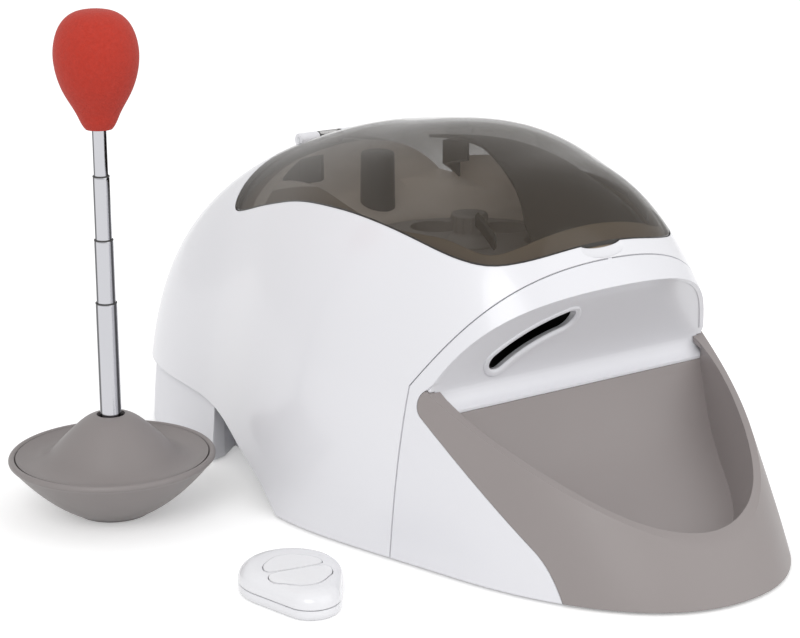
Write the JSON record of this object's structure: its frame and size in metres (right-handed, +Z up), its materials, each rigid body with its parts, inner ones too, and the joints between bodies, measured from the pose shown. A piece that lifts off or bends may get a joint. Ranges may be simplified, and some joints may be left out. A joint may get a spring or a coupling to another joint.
{
  "type": "treat dispenser",
  "caption": "Pet treat dispenser with a tinted hinged hopper lid, a recessed outlet over a front tray, a telescoping target wand on a weighted dish and a hand remote with buttons.",
  "frame": {"origin": "on the floor under the dispenser, on its middle plane, below the hopper", "axes": "+Z up; the treat tray faces -Y; +X is on the right of someone who looks along +Y at the tray"},
  "size_m": [0.3395, 0.4141, 0.2608],
  "materials": {
    "shell_white": "glossy",
    "inner_white": "satin",
    "tray_taupe": "satin",
    "lid_smoke": "glossy, tinted clear",
    "rib_smoke": "glossy",
    "disc_grey": "satin",
    "gear_white": "satin",
    "steel": "brushed",
    "iron": "rough",
    "spring_brass": "bright",
    "cell_wrap": "satin",
    "board_green": "satin",
    "speaker_black": "matt",
    "foot_rubber": "matt",
    "control_grey": "satin",
    "window_dark": "glossy",
    "button_grey": "satin",
    "tube_chrome": "polished",
    "foam_red": "matt foam"
  },
  "bodies": {
    "dispenser": {"main_shell": "shell_white", "front_bezel": "shell_white", "base_pan": "shell_white", "treat_hopper": "inner_white", "hopper_post": "inner_white", "treat_chute": "inner_white", "battery_bay": "inner_white", "motor_bracket": "inner_white", "treat_tray": "tray_taupe", "hopper_guard": "lid_smoke", "hinge_pin": "steel", "gear_motor": "steel", "contact_left": "spring_brass", "contact_right": "spring_brass", "battery_cell_1": "cell_wrap", "battery_cell_2": "cell_wrap", "battery_cell_3": "cell_wrap", "battery_cell_4": "cell_wrap", "main_board": "board_green", "control_board": "board_green", "speaker": "speaker_black", "foot_front_left": "foot_rubber", "foot_front_right": "foot_rubber", "foot_rear_left": "foot_rubber", "foot_rear_right": "foot_rubber", "control_panel": "control_grey", "control_window": "window_dark"},
    "lid": {"hopper_lid": "lid_smoke", "lid_rib_rear_left": "rib_smoke", "lid_rib_rear_right": "rib_smoke", "lid_rib_front_left": "rib_smoke", "lid_rib_front_right": "rib_smoke"},
    "disc_drive": {"treat_disc": "disc_grey", "disc_knob": "disc_grey", "drive_shaft": "steel", "drive_gear": "gear_white"},
    "pinion": {"motor_pinion": "gear_white"},
    "door": {"battery_door": "shell_white"},
    "left_button": {"control_button_left": "button_grey"},
    "right_button": {"control_button_right": "button_grey"},
    "switch": {"power_switch": "control_grey"},
    "wand": {"wand_dish": "tray_taupe", "dish_cover": "tray_taupe", "wand_socket": "rib_smoke", "dish_weight": "iron", "wand_tube_1": "tube_chrome"},
    "tube_2": {"wand_tube_2": "tube_chrome"},
    "tube_3": {"wand_tube_3": "tube_chrome"},
    "tube_4": {"wand_tube_4": "tube_chrome", "foam_tip": "foam_red"},
    "remote": {"remote_top": "shell_white", "remote_bottom": "shell_white", "remote_board": "board_green", "remote_cell": "steel"},
    "far_button": {"remote_button_far": "shell_white"},
    "near_button": {"remote_button_near": "shell_white"}
  },
  "joints": [
    {"name": "lid_hinge", "type": "hinge", "parent": "dispenser", "child": "lid", "pos_m": [0, 0.133, 0.1588], "axis": [-1, 0, 0], "range_deg": [0, 95]},
    {"name": "disc_spin", "type": "hinge", "parent": "dispenser", "child": "disc_drive", "pos_m": [0, 0.005, 0.1], "axis": [0, 0, 1], "continuous": true},
    {"name": "pinion_spin", "type": "hinge", "parent": "dispenser", "child": "pinion", "pos_m": [0, 0.035, 0.095], "axis": [0, 0, 1], "continuous": true},
    {"name": "door_drop", "type": "slide", "parent": "dispenser", "child": "door", "axis": [0, 0, -1], "range_m": [0, 0.03]},
    {"name": "left_button_press", "type": "slide", "parent": "dispenser", "child": "left_button", "axis": [0, -0.9659, -0.2588], "range_m": [0, 0.0012], "stiffness_N_per_m": 400, "springref_m": -0.0005},
    {"name": "right_button_press", "type": "slide", "parent": "dispenser", "child": "right_button", "axis": [0, -0.9659, -0.2588], "range_m": [0, 0.0012], "stiffness_N_per_m": 400, "springref_m": -0.0005},
    {"name": "switch_slide", "type": "slide", "parent": "dispenser", "child": "switch", "axis": [-1, 0, 0], "range_m": [0, 0.007]},
    {"name": "wand_lift", "type": "slide", "parent": "dispenser", "child": "wand", "axis": [0, 0, 1], "range_m": [0, 0.15]},
    {"name": "tube_2_slide", "type": "slide", "parent": "wand", "child": "tube_2", "axis": [0, 0, 1], "range_m": [-0.031, 0.008]},
    {"name": "tube_3_slide", "type": "slide", "parent": "tube_2", "child": "tube_3", "axis": [0, 0, 1], "range_m": [-0.031, 0.008]},
    {"name": "tube_4_slide", "type": "slide", "parent": "tube_3", "child": "tube_4", "axis": [0, 0, 1], "range_m": [-0.022, 0.008]},
    {"name": "remote_lift", "type": "slide", "parent": "dispenser", "child": "remote", "axis": [0, 0, 1], "range_m": [0, 0.15]},
    {"name": "far_button_press", "type": "slide", "parent": "remote", "child": "far_button", "axis": [0, 0, -1], "range_m": [0, 0.0008], "stiffness_N_per_m": 500, "springref_m": -0.0005},
    {"name": "near_button_press", "type": "slide", "parent": "remote", "child": "near_button", "axis": [0, 0, -1], "range_m": [0, 0.0008], "stiffness_N_per_m": 500, "springref_m": -0.0005}
  ],
  "couplings": [
    {"joint": "pinion_spin", "follows": "disc_spin", "ratio": -3}
  ]
}
